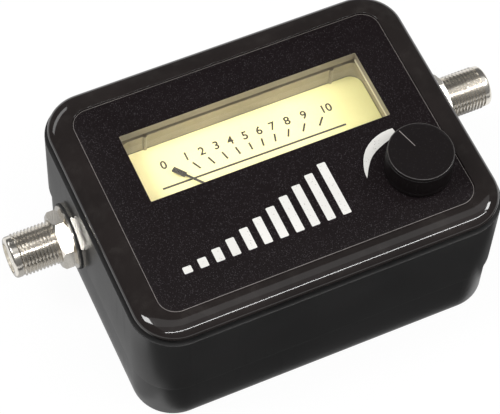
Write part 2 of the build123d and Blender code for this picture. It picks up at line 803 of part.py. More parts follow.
def pot_washer():
    """The washer between the front cover and the control's nut."""
    low = recess_floor_z
    ring = disc(pot_washer_radius, low, low + pot_washer_thickness, knob_x, knob_y)
    return ring - disc(pot_bush_radius + nut_fit, low - overrun, low + overrun, knob_x, knob_y)


def pot_nut():
    """The nut that clamps the control to the front cover."""
    low = recess_floor_z + pot_washer_thickness
    nut = hexagon(pot_nut_across_flats, low, pot_nut_top_z, knob_x, knob_y, nut_chamfer / 2)
    return nut - disc(pot_bush_radius + nut_fit, low - overrun, pot_nut_top_z + overrun, knob_x, knob_y)


def control_knob():
    """The round knob: tapered side, hollow over the nut, an engraved line on top."""
    profile = Polyline((0, knob_bottom_z), (knob_base_radius, knob_bottom_z),
                       (knob_base_radius, knob_bottom_z + knob_skirt), (knob_top_radius, knob_top_z),
                       (0, knob_top_z), close=True)
    knob = revolve(Plane.XZ * make_face(profile), Axis.Z)
    knob = fillet(knob.faces().sort_by(Axis.Z)[-1].edges(), knob_edge_radius)
    cavity_radius = pot_washer_radius + knob_cavity_way
    cavity_top = bush_top_z + knob_cavity_gap
    knob -= disc(cavity_radius, knob_bottom_z - overrun, cavity_top)
    knob -= disc(pot_shaft_radius, cavity_top - overrun, shaft_top_z)
    line_length = knob_top_radius - knob_line_start + overrun
    line = Pos(knob_line_start + line_length / 2, 0, knob_top_z) * Box(line_length, knob_line_width,
                                                                       2 * knob_line_depth)
    return Pos(knob_x, knob_y, 0) * (knob - Rot(0, 0, knob_line_angle) * line)


def amplifier_chip():
    """The amplifier in its eight-pin package."""
    low = board_top_z + chip_gap
    body = Pos(chip_x, chip_y, low + chip_height / 2) * Box(chip_length, chip_width, chip_height)
    first = chip_x - (chip_pin_count - 1) * chip_pin_pitch / 2
    pin_height = chip_gap + chip_height / 2
    for index in range(chip_pin_count):
        for side in (-1, 1):
            y = chip_y + side * (chip_width + chip_pin_thickness) / 2
            body += Pos(first + index * chip_pin_pitch, y, board_top_z + pin_height / 2) * Box(
                chip_pin_width, chip_pin_thickness, pin_height)
    return body


def can_capacitors():
    """Two electrolytic capacitors that stand on the board."""
    cans = []
    for radius, height, x, y in ((can_radius, can_height, can_x, can_y),
                                 (small_can_radius, small_can_height, small_can_x, can_y)):
        can = disc(radius, board_top_z, board_top_z + height, x, y)
        cans.append(fillet(can.faces().sort_by(Axis.Z)[-1].edges(), can_edge_radius))
    return group(cans)


def transistors():
    """Three small transistors on their legs, in a row beside the gain control."""
    row = []
    low = board_top_z + transistor_stand
    for step in (-1, 0, 1):
        x = knob_x + step * transistor_spacing
        body = disc(transistor_radius, low, low + transistor_height, x, transistor_y)
        cut = Box(2 * transistor_radius, transistor_radius, 2 * transistor_height)
        body -= Pos(x, transistor_y - transistor_flat - transistor_radius / 2, low + transistor_height / 2) * cut
        for leg in (-1, 0, 1):
            body += disc(lead_radius, board_top_z, low, x + leg * lamp_lead_spacing / 2, transistor_y)
        row.append(body)
    return group(row)


def resistors():
    """A row of resistors that lie across the board below the meter."""
    row = []
    z = board_top_z + resistor_gap + resistor_radius
    for index in range(resistor_count):
        y = resistor_first_y + index * resistor_spacing
        body = Pos(0, y, z) * Rot(0, 90, 0) * Cylinder(resistor_radius, resistor_length)
        body += Pos(0, y, z) * Rot(0, 90, 0) * Cylinder(lead_radius, resistor_span)
        for side in (-1, 1):
            body += disc(lead_radius, board_top_z, z, side * (resistor_span / 2 - lead_radius), y)
        row.append(body)
    return group(row)


def buzzer_case():
    """The sounder's round case under the board, open at its sound hole."""
    low = board_bottom_z - buzzer_height
    case = disc(buzzer_radius, low, board_bottom_z, pivot_x, buzzer_y)
    case -= disc(buzzer_radius - buzzer_wall - buzzer_ledge, low + buzzer_wall,
                 board_bottom_z - buzzer_wall, pivot_x, buzzer_y)
    seat = board_bottom_z - buzzer_height / 2
    case -= disc(buzzer_radius - buzzer_wall, seat, board_bottom_z - buzzer_wall, pivot_x, buzzer_y)
    return case - disc(buzzer_hole_radius, low - overrun, low + buzzer_wall + overrun, pivot_x, buzzer_y)


def buzzer_disc():
    """The brass disc that sounds, on the ledge in the case."""
    seat = board_bottom_z - buzzer_height / 2
    return disc(buzzer_radius - buzzer_wall - case_fit, seat, seat + buzzer_disc_thickness,
                pivot_x, buzzer_y)


def build_all():
    """Every node of the meter by its name."""
    nodes = {
        "front_cover": front_cover(),
        "wall_ring": wall_ring(),
        "back_cover": back_cover(),
        "case_screws": case_screws(),
        "face_label": face_label(),
        "meter_window": meter_window(),
        "meter_tray": meter_tray(),
        "dial_plate": dial_plate(),
        "dial_screws": dial_screws(),
        "magnet_ring": magnet_ring(),
        "core_magnet": core_magnet(),
        "core_arms": core_arms(),
        "lower_bridge": lower_bridge(),
        "upper_bridge": upper_bridge(),
        "lower_jewel": lower_jewel(),
        "upper_jewel": upper_jewel(),
        "moving_coil": moving_coil(),
        "pivot_pins": pivot_pins(),
        "pointer": pointer(),
        "upper_hairspring": hairspring(upper_spring_z()),
        "lower_hairspring": hairspring(lower_bridge_top_z + spring_stand),
        "meter_terminals": meter_terminals(),
        "dial_lamps": dial_lamps(),
        "circuit_board": circuit_board(),
        "board_screws": board_screws(),
        "pot_housing": pot_housing(),
        "pot_wafer": pot_wafer(),
        "pot_shaft": pot_shaft(),
        "pot_washer": pot_washer(),
        "pot_nut": pot_nut(),
        "control_knob": control_knob(),
        "amplifier_chip": amplifier_chip(),
        "can_capacitors": can_capacitors(),
        "transistors": transistors(),
        "resistors": resistors(),
        "buzzer_case": buzzer_case(),
        "buzzer_disc": buzzer_disc(),
    }
    for name, side in (("left", -1), ("right", 1)):
        nodes.update(connector(name, side))
    return nodes


os.makedirs("parts", exist_ok=True)
for node_name, shape in build_all().items():
    export_step(shape, os.path.join("parts", node_name + ".step"))
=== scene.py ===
import json
import logging
import math
from collections.abc import Sequence
from dataclasses import dataclass
from enum import Enum

import bmesh
import bpy
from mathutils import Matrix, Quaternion, Vector

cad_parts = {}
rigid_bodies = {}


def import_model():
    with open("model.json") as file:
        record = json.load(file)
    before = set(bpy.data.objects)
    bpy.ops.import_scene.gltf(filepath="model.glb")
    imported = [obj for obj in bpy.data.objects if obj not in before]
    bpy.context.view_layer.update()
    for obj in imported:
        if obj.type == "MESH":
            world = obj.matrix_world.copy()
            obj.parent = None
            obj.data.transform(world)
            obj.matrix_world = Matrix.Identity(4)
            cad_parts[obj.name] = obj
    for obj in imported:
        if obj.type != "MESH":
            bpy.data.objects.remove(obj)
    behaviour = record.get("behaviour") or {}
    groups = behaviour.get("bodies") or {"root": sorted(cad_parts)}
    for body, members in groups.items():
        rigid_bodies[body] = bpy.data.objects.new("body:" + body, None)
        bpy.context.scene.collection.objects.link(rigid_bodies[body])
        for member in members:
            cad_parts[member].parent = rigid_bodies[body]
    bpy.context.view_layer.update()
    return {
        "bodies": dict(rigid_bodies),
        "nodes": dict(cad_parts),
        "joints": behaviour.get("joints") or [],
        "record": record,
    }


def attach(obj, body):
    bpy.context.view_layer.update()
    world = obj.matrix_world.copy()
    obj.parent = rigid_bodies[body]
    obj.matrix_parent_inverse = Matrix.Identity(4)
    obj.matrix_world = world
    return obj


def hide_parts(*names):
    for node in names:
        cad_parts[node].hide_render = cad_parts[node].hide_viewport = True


LOG = logging.getLogger("signal_meter")
MM = 0.001
CIRCLE_STEPS = 96
CORNER_STEPS = 14
Pair = tuple[float, float]
Triple = tuple[float, float, float]
Ring = list[bmesh.types.BMVert]
Row = tuple[Sequence[Pair], float]
Socket = bpy.types.NodeSocket


class Side(Enum):
    """The two ends of the meter, by the sign of X."""

    LEFT = -1
    RIGHT = 1

    @property
    def prefix(self) -> str:
        """The first word of this end's node names."""
        return self.name.lower()


class Body(Enum):
    """The bodies that the new pieces ride on."""

    CASE = "meter_body"
    KNOB = "knob"


class Tree:
    """A node tree with short ways to add and join nodes."""

    def __init__(self, tree: bpy.types.NodeTree) -> None:
        """Takes a tree and empties it."""
        self.tree = tree
        self.tree.nodes.clear()

    def add(self, kind: str, **settings: object) -> bpy.types.Node:
        """Adds a node.

        Args:
            kind: the node's type without its leading word.
            settings: attributes of the node.

        Returns:
            The node.
        """
        node = self.tree.nodes.new("ShaderNode" + kind)
        for name, value in settings.items():
            setattr(node, name, value)
        return node

    def put(self, socket: Socket, value: object) -> None:
        """Sets a socket to a plain value, or links another socket to it.

        Args:
            socket: the input.
            value: a number, a colour or an output socket.
        """
        if isinstance(value, bpy.types.NodeSocket):
            self.tree.links.new(value, socket)
        elif isinstance(value, tuple) and socket.type == "RGBA":
            socket.default_value = (*value, 1.0)
        else:
            socket.default_value = value

    def fill(self, node: bpy.types.Node, **values: object) -> bpy.types.Node:
        """Sets several inputs of a node.

        Args:
            node: the node.
            values: the inputs' values, by their names with underlines for spaces.

        Returns:
            The node.
        """
        for label, value in values.items():
            self.put(node.inputs[label.replace("_", " ")], value)
        return node

    def math(self, operation: str, first: object, second: object) -> Socket:
        """One step of arithmetic.

        Args:
            operation: the operation's name.
            first: a number or socket.
            second: a number or socket.

        Returns:
            The result's socket.
        """
        node = self.add("Math", operation=operation)
        self.put(node.inputs[0], first)
        self.put(node.inputs[1], second)
        return node.outputs[0]

    def ramp(self, value: Socket, low: float, high: float) -> Socket:
        """Spreads a value so that low becomes 0 and high becomes 1, smoothly."""
        node = self.add("MapRange", interpolation_type="SMOOTHSTEP")
        return self.fill(node, Value=value, From_Min=low, From_Max=high).outputs["Result"]

    def mix(self, share: object, first: object, second: object) -> Socket:
        """Mixes two colours.

        Args:
            share: how much of the second colour.
            first: a colour or socket.
            second: a colour or socket.

        Returns:
            The mixed colour's socket.
        """
        node = self.add("Mix", data_type="RGBA", blend_type="MIX")
        colour_inputs = [socket for socket in node.inputs if socket.type == "RGBA"]
        self.put(node.inputs[0], share)
        self.put(colour_inputs[0], first)
        self.put(colour_inputs[1], second)
        return next(socket for socket in node.outputs if socket.type == "RGBA")

    def place(self) -> Socket:
        """The place on the object, in metres."""
        return self.add("TexCoord").outputs["Object"]

    def noise(self, vector: Socket, scale: object, detail: float = 2.0) -> Socket:
        """A soft noise read at a place, with some finer layers of detail."""
        return self.fill(self.add("TexNoise"), Vector=vector, Scale=scale, Detail=detail).outputs["Fac"]


class Effect:
    """A shader node group that several finishes share."""

    def __init__(self, name: str, inputs: dict[str, float], outputs: Sequence[str]) -> None:
        """Makes the group and its sockets.

        Args:
            name: the group's name.
            inputs: each input and its usual value.
            outputs: the outputs, all plain values.
        """
        self.group = bpy.data.node_groups.new(name, "ShaderNodeTree")
        self.tree = Tree(self.group)
        sockets = self.group.interface
        for label, value in inputs.items():
            socket = sockets.new_socket(name=label, in_out="INPUT", socket_type="NodeSocketFloat")
            socket.default_value = value
        for label in outputs:
            sockets.new_socket(name=label, in_out="OUTPUT", socket_type="NodeSocketFloat")
        self.entry = self.group.nodes.new("NodeGroupInput").outputs
        self.exit = self.group.nodes.new("NodeGroupOutput").inputs

    def use(self, tree: Tree, **values: float) -> bpy.types.NodeOutputs:
        """Puts the group into a material, and gives its outputs."""
        return tree.fill(tree.add("Group", node_tree=self.group), **values).outputs


class Effects:
    """The shared effects, each built once."""

    def __init__(self) -> None:
        """Builds every group."""
        self.grain = self._grain()
        self.speckle = self._speckle()
        self.wear = self._wear()
        self.dust = self._dust()
        self.scratches = self._scratches()

    def _grain(self) -> Effect:
        """Fine moulded or cast texture with a slow change of shade.

        Returns:
            The effect, with Height and Shade.
        """
        made = Effect("moulded_grain", {"Scale": 2500.0, "Cloud": 60.0}, ("Height", "Shade"))
        tree, place = made.tree, made.tree.place()
        tree.put(made.exit["Height"], tree.noise(place, made.entry["Scale"], detail=3.0))
        slow = tree.noise(place, made.entry["Cloud"], detail=4.0)
        tree.put(made.exit["Shade"], tree.ramp(slow, low=0.3, high=0.7))
        return made

    def _speckle(self) -> Effect:
        """Small dots scattered over a print or a plastic.

        Returns:
            The effect, with Mask.
        """
        made = Effect("fine_speckle", {"Scale": 2500.0, "Size": 0.3, "Share": 0.3}, ("Mask",))
        tree = made.tree
        cells = tree.fill(tree.add("TexVoronoi"), Vector=tree.place(), Scale=made.entry["Scale"]).outputs
        near = tree.math("LESS_THAN", cells["Distance"], made.entry["Size"])
        split = tree.fill(tree.add("SeparateColor"), Color=cells["Color"]).outputs
        chosen = tree.math("LESS_THAN", split[0], made.entry["Share"])
        tree.put(made.exit["Mask"], tree.math("MULTIPLY", tree.math("MULTIPLY", near, chosen), split[1]))
        return made

    def _wear(self) -> Effect:
        """Rubbed edges, broken up by a noise.

        Returns:
            The effect, with Mask.
        """
        made = Effect("edge_wear", {"Radius": 0.0003, "Breakup": 900.0}, ("Mask",))
        tree = made.tree
        rounded = tree.fill(tree.add("Bevel", samples=4), Radius=made.entry["Radius"]).outputs[0]
        dot = tree.add("VectorMath", operation="DOT_PRODUCT")
        tree.put(dot.inputs[0], rounded)
        tree.put(dot.inputs[1], tree.add("NewGeometry").outputs["Normal"])
        edge = tree.ramp(dot.outputs["Value"], low=0.995, high=0.93)
        patches = tree.ramp(tree.noise(tree.place(), made.entry["Breakup"]), low=0.35, high=0.7)
        tree.put(made.exit["Mask"], tree.math("MULTIPLY", edge, patches))
        return made

    def _dust(self) -> Effect:
        """A light film of dust on the faces that look up.

        Returns:
            The effect, with Mask.
        """
        made = Effect("settled_dust", {"Scale": 350.0, "Amount": 0.1}, ("Mask",))
        tree = made.tree
        normal = tree.add("NewGeometry").outputs["Normal"]
        parts = tree.fill(tree.add("SeparateXYZ"), Vector=normal).outputs
        up = tree.ramp(parts["Z"], low=0.2, high=1.0)
        patches = tree.ramp(tree.noise(tree.place(), made.entry["Scale"], detail=8.0), low=0.45, high=0.8)
        film = tree.math("MULTIPLY", up, patches)
        tree.put(made.exit["Mask"], tree.math("MULTIPLY", film, made.entry["Amount"]))
        return made

    def _scratches(self) -> Effect:
        """Fine hairlines in two directions, from handling.

        Returns:
            The effect, with Mask.
        """
        made = Effect("handling_hairlines", {"Scale": 45.0, "Stretch": 30.0}, ("Mask",))
        tree, scale = made.tree, made.entry["Scale"]
        lines = []
        for turn in (0.5, 1.9):
            spin = tree.add("VectorRotate", rotation_type="Z_AXIS")
            tree.fill(spin, Vector=tree.place(), Angle=turn)
            across = tree.math("MULTIPLY", scale, made.entry["Stretch"])
            pull = tree.fill(tree.add("CombineXYZ"), X=scale, Y=across, Z=scale)
            stretch = tree.add("VectorMath", operation="MULTIPLY")
            tree.put(stretch.inputs[0], spin.outputs[0])
            tree.put(stretch.inputs[1], pull.outputs[0])
            lines.append(tree.ramp(tree.noise(stretch.outputs[0], 1.0, detail=1.0), low=0.68, high=0.74))
        tree.put(made.exit["Mask"], tree.math("MAXIMUM", *lines))
        return made


def node_tree(owner: bpy.types.Material | bpy.types.World) -> Tree:
    """Switches a material or a world to nodes, and gives its empty tree."""
    owner.use_nodes = True
    return Tree(owner.node_tree)


@dataclass(frozen=True)
class Finish:
    """A surface's colour, gloss, texture and signs of use. Lengths are in metres."""

    name: str
    color: Triple
    roughness: float
    metallic: float = 0.0
    ior: float = 1.5
    coat: float = 0.0
    grain_scale: float = 2500.0
    grain_height: float = 4e-6
    shade_spread: float = 0.15
    gloss_spread: float = 0.05
    dust: float = 0.0
    dust_color: Triple = (0.35, 0.33, 0.3)
    dust_roughness: float = 0.5
    wear: float = 0.0
    wear_color: Triple = (0.2, 0.19, 0.18)
    wear_radius: float = 0.0003
    hairlines: float = 0.0

    def build(self, effects: Effects) -> bpy.types.Material:
        """Builds the material.

        Args:
            effects: the shared effects.

        Returns:
            The material.
        """
        material = bpy.data.materials.new(self.name)
        tree = node_tree(material)
        shader = tree.add("BsdfPrincipled")
        tree.fill(tree.add("OutputMaterial"), Surface=shader.outputs[0])
        grain = effects.grain.use(tree, Scale=self.grain_scale)
        darker = tuple(channel * (1 - self.shade_spread) for channel in self.color)
        lighter = tuple(min(1.0, channel * (1 + self.shade_spread)) for channel in self.color)
        tint = self.tint(tree, effects, tree.mix(grain["Shade"], darker, lighter))
        spread = tree.math("MULTIPLY", grain["Shade"], self.gloss_spread)
        rough = tree.math("ADD", self.roughness - self.gloss_spread / 2, spread)
        if self.hairlines:
            lines = effects.scratches.use(tree)["Mask"]
            rough = tree.math("ADD", rough, tree.math("MULTIPLY", lines, self.hairlines))
        if self.dust:
            film = effects.dust.use(tree, Amount=self.dust)["Mask"]
            tint = tree.mix(film, tint, self.dust_color)
            rough = tree.math("ADD", rough, tree.math("MULTIPLY", film, self.dust_roughness))
        if self.wear:
            rubbed = effects.wear.use(tree, Radius=self.wear_radius)["Mask"]
            tint = tree.mix(tree.math("MULTIPLY", rubbed, self.wear), tint, self.wear_color)
        bump = tree.fill(tree.add("Bump"), Distance=self.grain_height, Strength=1.0,
                         Height=grain["Height"])
        tree.fill(shader, Metallic=self.metallic, IOR=self.ior, Coat_Weight=self.coat, Base_Color=tint,
                  Roughness=rough, Normal=bump.outputs[0])
        self.extra(tree, shader)
        return material

    def tint(self, tree: Tree, effects: Effects, color: Socket) -> Socket:
        """Changes the base colour, for finishes that have more in it."""
        return color

    def extra(self, tree: Tree, shader: bpy.types.Node) -> None:
        """Sets what only this finish has."""


@dataclass(frozen=True)
class SpeckledFinish(Finish):
    """A print or film with fine light dots."""

    dot_color: Triple = (0.14, 0.13, 0.13)
    dot_scale: float = 3200.0
    dot_size: float = 0.32
    dot_share: float = 0.35

    def tint(self, tree: Tree, effects: Effects, color: Socket) -> Socket:
        """Adds the dots to the base colour."""
        dots = effects.speckle.use(tree, Scale=self.dot_scale, Size=self.dot_size, Share=self.dot_share)
        return tree.mix(dots["Mask"], color, self.dot_color)


@dataclass(frozen=True)
class DialFinish(Finish):
    """Enamel with a painted shade: its colour darkens towards the right end, standing in for the shade
    that falls there.
    """

    far_color: Triple = (0.6, 0.56, 0.24)
    near_x: float = 0.008
    far_x: float = 0.029

    def tint(self, tree: Tree, effects: Effects, color: Socket) -> Socket:
        """Adds the painted shade that darkens the dial along X."""
        along = tree.fill(tree.add("SeparateXYZ"), Vector=tree.place()).outputs["X"]
        return tree.mix(tree.ramp(along, self.near_x, self.far_x), color, self.far_color)


@dataclass(frozen=True)
class ClearFinish(Finish):
    """Clear moulded plastic that lets the light through to what lies behind it."""

    shadow_share: float = 0.94

    def extra(self, tree: Tree, shader: bpy.types.Node) -> None:
        """Makes it clear, and nearly without a shadow.

        Args:
            tree: the material's tree.
            shader: the material's main shader.
        """
        path = tree.add("LightPath").outputs
        shadow = tree.math("MULTIPLY", path["Is Shadow Ray"], self.shadow_share)
        tree.fill(shader, Transmission_Weight=1.0, Alpha=tree.math("SUBTRACT", 1.0, shadow))


@dataclass(frozen=True)
class GlowFinish(Finish):
    """A finish with a painted glow: it gives a little light of its own, though the part is no lamp."""

    glow: float = 0.1

    def extra(self, tree: Tree, shader: bpy.types.Node) -> None:
        """Sets the painted glow."""
        tree.fill(shader, Emission_Color=self.color, Emission_Strength=self.glow)


FINISHES: tuple[Finish, ...] = (
    Finish("cover_gloss", (0.013, 0.0102, 0.0096), 0.07, grain_scale=700.0, grain_height=1e-7,
           gloss_spread=0.02, dust=0.02, wear=0.03),
    Finish("case_satin", (0.0115, 0.0112, 0.0112), 0.36, grain_scale=3200.0, grain_height=3e-6,
           dust=0.02, wear=0.08, hairlines=0.03),
    SpeckledFinish("label_black", (0.007, 0.0046, 0.0052), 0.5, ior=1.19, grain_scale=5200.0,
                   shade_spread=0.05, dot_color=(0.09, 0.08, 0.085), dot_scale=5200.0, dot_size=0.34),
    Finish("label_edge", (0.22, 0.2, 0.19), 0.4),
    SpeckledFinish("print_white", (0.62, 0.61, 0.58), 0.6, grain_height=3e-6, shade_spread=0.06,
                   dot_color=(0.3, 0.28, 0.26), dot_share=0.2),
    ClearFinish("clear_plastic", (0.98, 0.98, 0.96), 0.03, ior=1.49, grain_height=2e-7,
                shade_spread=0.01, gloss_spread=0.02),
    # lens_wall and window_edge glow: painted light on the window's walls, and a painted highlight on its
    # right edge.
    GlowFinish("lens_wall", (0.25, 0.215, 0.15), 0.35, grain_height=3e-6, glow=0.035),
    GlowFinish("window_edge", (0.62, 0.58, 0.4), 0.3, grain_height=2e-6),
    Finish("meter_black", (0.012, 0.012, 0.012), 0.4, wear=0.1),
    # dial_cream darkens towards its right end: painted shade, set in DialFinish.
    DialFinish("dial_cream", (0.89, 0.79, 0.4), 0.55, grain_scale=4200.0, grain_height=1.5e-6,
               shade_spread=0.03),
    Finish("dial_print", (0.022, 0.016, 0.012), 0.6, shade_spread=0.2),
    Finish("nickel", (0.8, 0.76, 0.69), 0.22, metallic=1.0, grain_scale=1800.0, grain_height=4e-7,
           shade_spread=0.06, gloss_spread=0.06, wear=0.1, wear_color=(0.9, 0.88, 0.82),
           wear_radius=0.00015, hairlines=0.08),
    Finish("zinc_steel", (0.62, 0.62, 0.6), 0.3, metallic=1.0, wear=0.3, hairlines=0.2),
    Finish("soft_iron", (0.35, 0.34, 0.33), 0.5, metallic=1.0, grain_height=1e-5),
    Finish("magnet_grey", (0.16, 0.16, 0.17), 0.5, metallic=1.0, grain_height=1e-5),
    Finish("brass", (0.78, 0.58, 0.26), 0.3, metallic=1.0, hairlines=0.2),
    Finish("copper_winding", (0.62, 0.26, 0.1), 0.35, metallic=1.0, grain_scale=6000.0,
           grain_height=2e-5),
    Finish("spring_bronze", (0.66, 0.42, 0.2), 0.3, metallic=1.0),
    Finish("pointer_black", (0.02, 0.016, 0.013), 0.45, wear=0.2),
    ClearFinish("lamp_glass", (0.98, 0.9, 0.7), 0.05),
    Finish("board_green", (0.03, 0.16, 0.06), 0.3, coat=0.4, hairlines=0.1),
    Finish("insulator_white", (0.78, 0.76, 0.7), 0.45, shade_spread=0.05),
    Finish("washer_rubber", (0.012, 0.012, 0.012), 0.7, grain_height=1e-5, dust=0.1),
    Finish("pot_steel", (0.6, 0.6, 0.58), 0.32, metallic=1.0, hairlines=0.2),
    Finish("wafer_brown", (0.28, 0.14, 0.06), 0.5),
    SpeckledFinish("knob_black", (0.0065, 0.0048, 0.005), 0.42, ior=1.28, grain_scale=4200.0,
                   shade_spread=0.05, dot_color=(0.02, 0.018, 0.018), dot_share=0.3),
    Finish("knob_rim", (0.06, 0.056, 0.054), 0.3, metallic=0.2),
    Finish("chip_black", (0.02, 0.02, 0.02), 0.5, grain_height=1e-5),
    Finish("can_sleeve", (0.02, 0.03, 0.09), 0.25, coat=0.3),
    Finish("resistor_tan", (0.55, 0.38, 0.2), 0.35, coat=0.3),
    Finish("disc_brass", (0.75, 0.56, 0.24), 0.3, metallic=1.0, hairlines=0.2),
)


def add_object(name: str, data: bpy.types.ID) -> bpy.types.Object:
    """Puts an object into the scene.

    Args:
        name: the object's name.
        data: its mesh, curve, lamp or camera.

    Returns:
        The object.
    """
    made = bpy.data.objects.new(name, data)
    bpy.context.scene.collection.objects.link(made)
    return made


class Workshop:
    """Holds the frame and the materials, and turns finished meshes into pieces."""

    def __init__(self, frame: dict) -> None:
        """Builds the effects and the materials.
        """
        effects = Effects()
        self.nodes: dict[str, bpy.types.Object] = frame["nodes"]
        self.slots = {row["node"]: row["material_slot"] for row in frame["record"]["subparts"]}
        self.materials = {finish.name: finish.build(effects) for finish in FINISHES}

    def dress(self, *nodes: str) -> None:
        """Gives CAD nodes the finish of their slots.

        Args:
            nodes: the nodes' names.
        """
        for node in nodes:
            piece = self.nodes[node]
            material = self.materials[self.slots[node]]
            if not piece.material_slots:
                piece.data.materials.append(material)
            for slot in piece.material_slots:
                slot.material = material
            LOG.info("dressed %s", node)

    def piece(self, mesh: bpy.types.Mesh, finish: str, slot: str, body: Body = Body.CASE,
              replaces: Sequence[str] = ()) -> None:
        """Makes a piece of a mesh, with the mesh's name.

        Args:
            mesh: its mesh, in metres.
            finish: its finish's name.
            slot: the record's material slot; not used.
            body: the body it rides on.
            replaces: the CAD nodes that it stands for.
        """
        made = add_object(mesh.name, mesh)
        mesh.materials.append(self.materials[finish])
        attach(made, body.value)
        if replaces:
            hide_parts(*replaces)
        LOG.info("made %s with %d faces", made.name, len(mesh.polygons))


def polar(radius: float, degrees: float, x: float = 0.0, y: float = 0.0) -> Pair:
    """The point at a distance and an angle from a centre."""
    angle = math.radians(degrees)
    return (x + radius * math.cos(angle), y + radius * math.sin(angle))


def arc_steps(radius: float, start: float, end: float, steps: int, x: float = 0.0,
              y: float = 0.0) -> list[Pair]:
    """Points on an arc, from one angle in degrees to another."""
    return [polar(radius, start + (end - start) * k / steps, x, y) for k in range(steps + 1)]


def circle(radius: float, x: float = 0.0, y: float = 0.0, steps: int = CIRCLE_STEPS) -> list[Pair]:
    """The points of a circle, anticlockwise."""
    return arc_steps(radius, 0, 360, steps, x, y)[:-1]


def line_outline(start: Pair, end: Pair, width: float) -> list[Pair]:
    """The outline of a straight line.

    Args:
        start: one end.
        end: the other end.
        width: the line's width.

    Returns:
        The four corners.
    """
    along = Vector((end[0] - start[0], end[1] - start[1]))
    x, y = Vector((-along.y, along.x)).normalized() * width / 2
    return [(start[0] + x, start[1] + y), (start[0] - x, start[1] - y),
            (end[0] - x, end[1] - y), (end[0] + x, end[1] + y)]


@dataclass(frozen=True)
class Plan:
    """A rectangle with round corners, in millimetres."""

    length: float
    width: float
    corner: float
    x: float = 0.0
    y: float = 0.0

    def outline(self, grow: float = 0.0) -> list[Pair]:
        """Its outline, anticlockwise.

        Args:
            grow: how much wider it is drawn on each side.

        Returns:
            The outline's points.
        """
        reach_x, reach_y = self.length / 2 - self.corner, self.width / 2 - self.corner
        points = []
        for quarter, (sx, sy) in enumerate(((1, 1), (-1, 1), (-1, -1), (1, -1))):
            centre, start = (self.x + sx * reach_x, self.y + sy * reach_y), 90 * quarter
            points += arc_steps(self.corner + grow, start, start + 90, CORNER_STEPS, *centre)
        return points


class Shaper:
    """Builds one mesh from rings of points, in millimetres."""

    def __init__(self, name: str) -> None:
        """Starts an empty mesh with a name."""
        self.name = name
        self.mesh = bmesh.new()

    def ring(self, points: Sequence[Pair], z: float) -> Ring:
        """Adds a level ring of vertices."""
        return [self.mesh.verts.new((x, y, z)) for x, y in points]

    def loft(self, rows: Sequence[Row], closed: bool = False) -> list[Ring]:
        """Adds level outlines and joins each to the next with quads.

        Args:
            rows: outlines with the same number of points, each with its level.
            closed: whether the last one joins the first.

        Returns:
            The outlines' rings.
        """
        rings = [self.ring(points, z) for points, z in rows]
        for low, high in zip(rings if closed else rings[:-1], rings[1:] + rings[:1], strict=False):
            for k in range(len(low)):
                after = (k + 1) % len(low)
                self.mesh.faces.new((low[k], low[after], high[after], high[k]))
        return rings

    def cap(self, ring: Ring) -> None:
        """Closes a ring with one face."""
        self.mesh.faces.new(ring)

    def fill(self, rings: Sequence[Ring]) -> None:
        """Fills the level space between an outer ring and the holes in it.

        Args:
            rings: the outer ring and the holes' rings.
        """
        edges = []
        for ring in rings:
            for k, vertex in enumerate(ring):
                pair = (vertex, ring[(k + 1) % len(ring)])
                edges.append(self.mesh.edges.get(pair) or self.mesh.edges.new(pair))
        bmesh.ops.triangle_fill(self.mesh, use_beauty=True, edges=edges)

    def prism(self, points: Sequence[Pair], low: float, high: float) -> None:
        """Adds an upright solid with any outline, from one level up to another."""
        for ring in self.loft([(points, low), (points, high)]):
            self.cap(ring)

    def finish(self, sharp: float = 32.0) -> bpy.types.Mesh:
        """Turns the work into a smooth mesh in metres.

        Args:
            sharp: the angle from which an edge stays sharp, in degrees.

        Returns:
            The mesh.
        """
        bmesh.ops.recalc_face_normals(self.mesh, faces=self.mesh.faces)
        bmesh.ops.scale(self.mesh, vec=(MM, MM, MM), verts=self.mesh.verts)
        made = bpy.data.meshes.new(self.name)
        self.mesh.to_mesh(made)
        self.mesh.free()
        made.shade_smooth()
        made.set_sharp_from_angle(angle=math.radians(sharp))
        return made


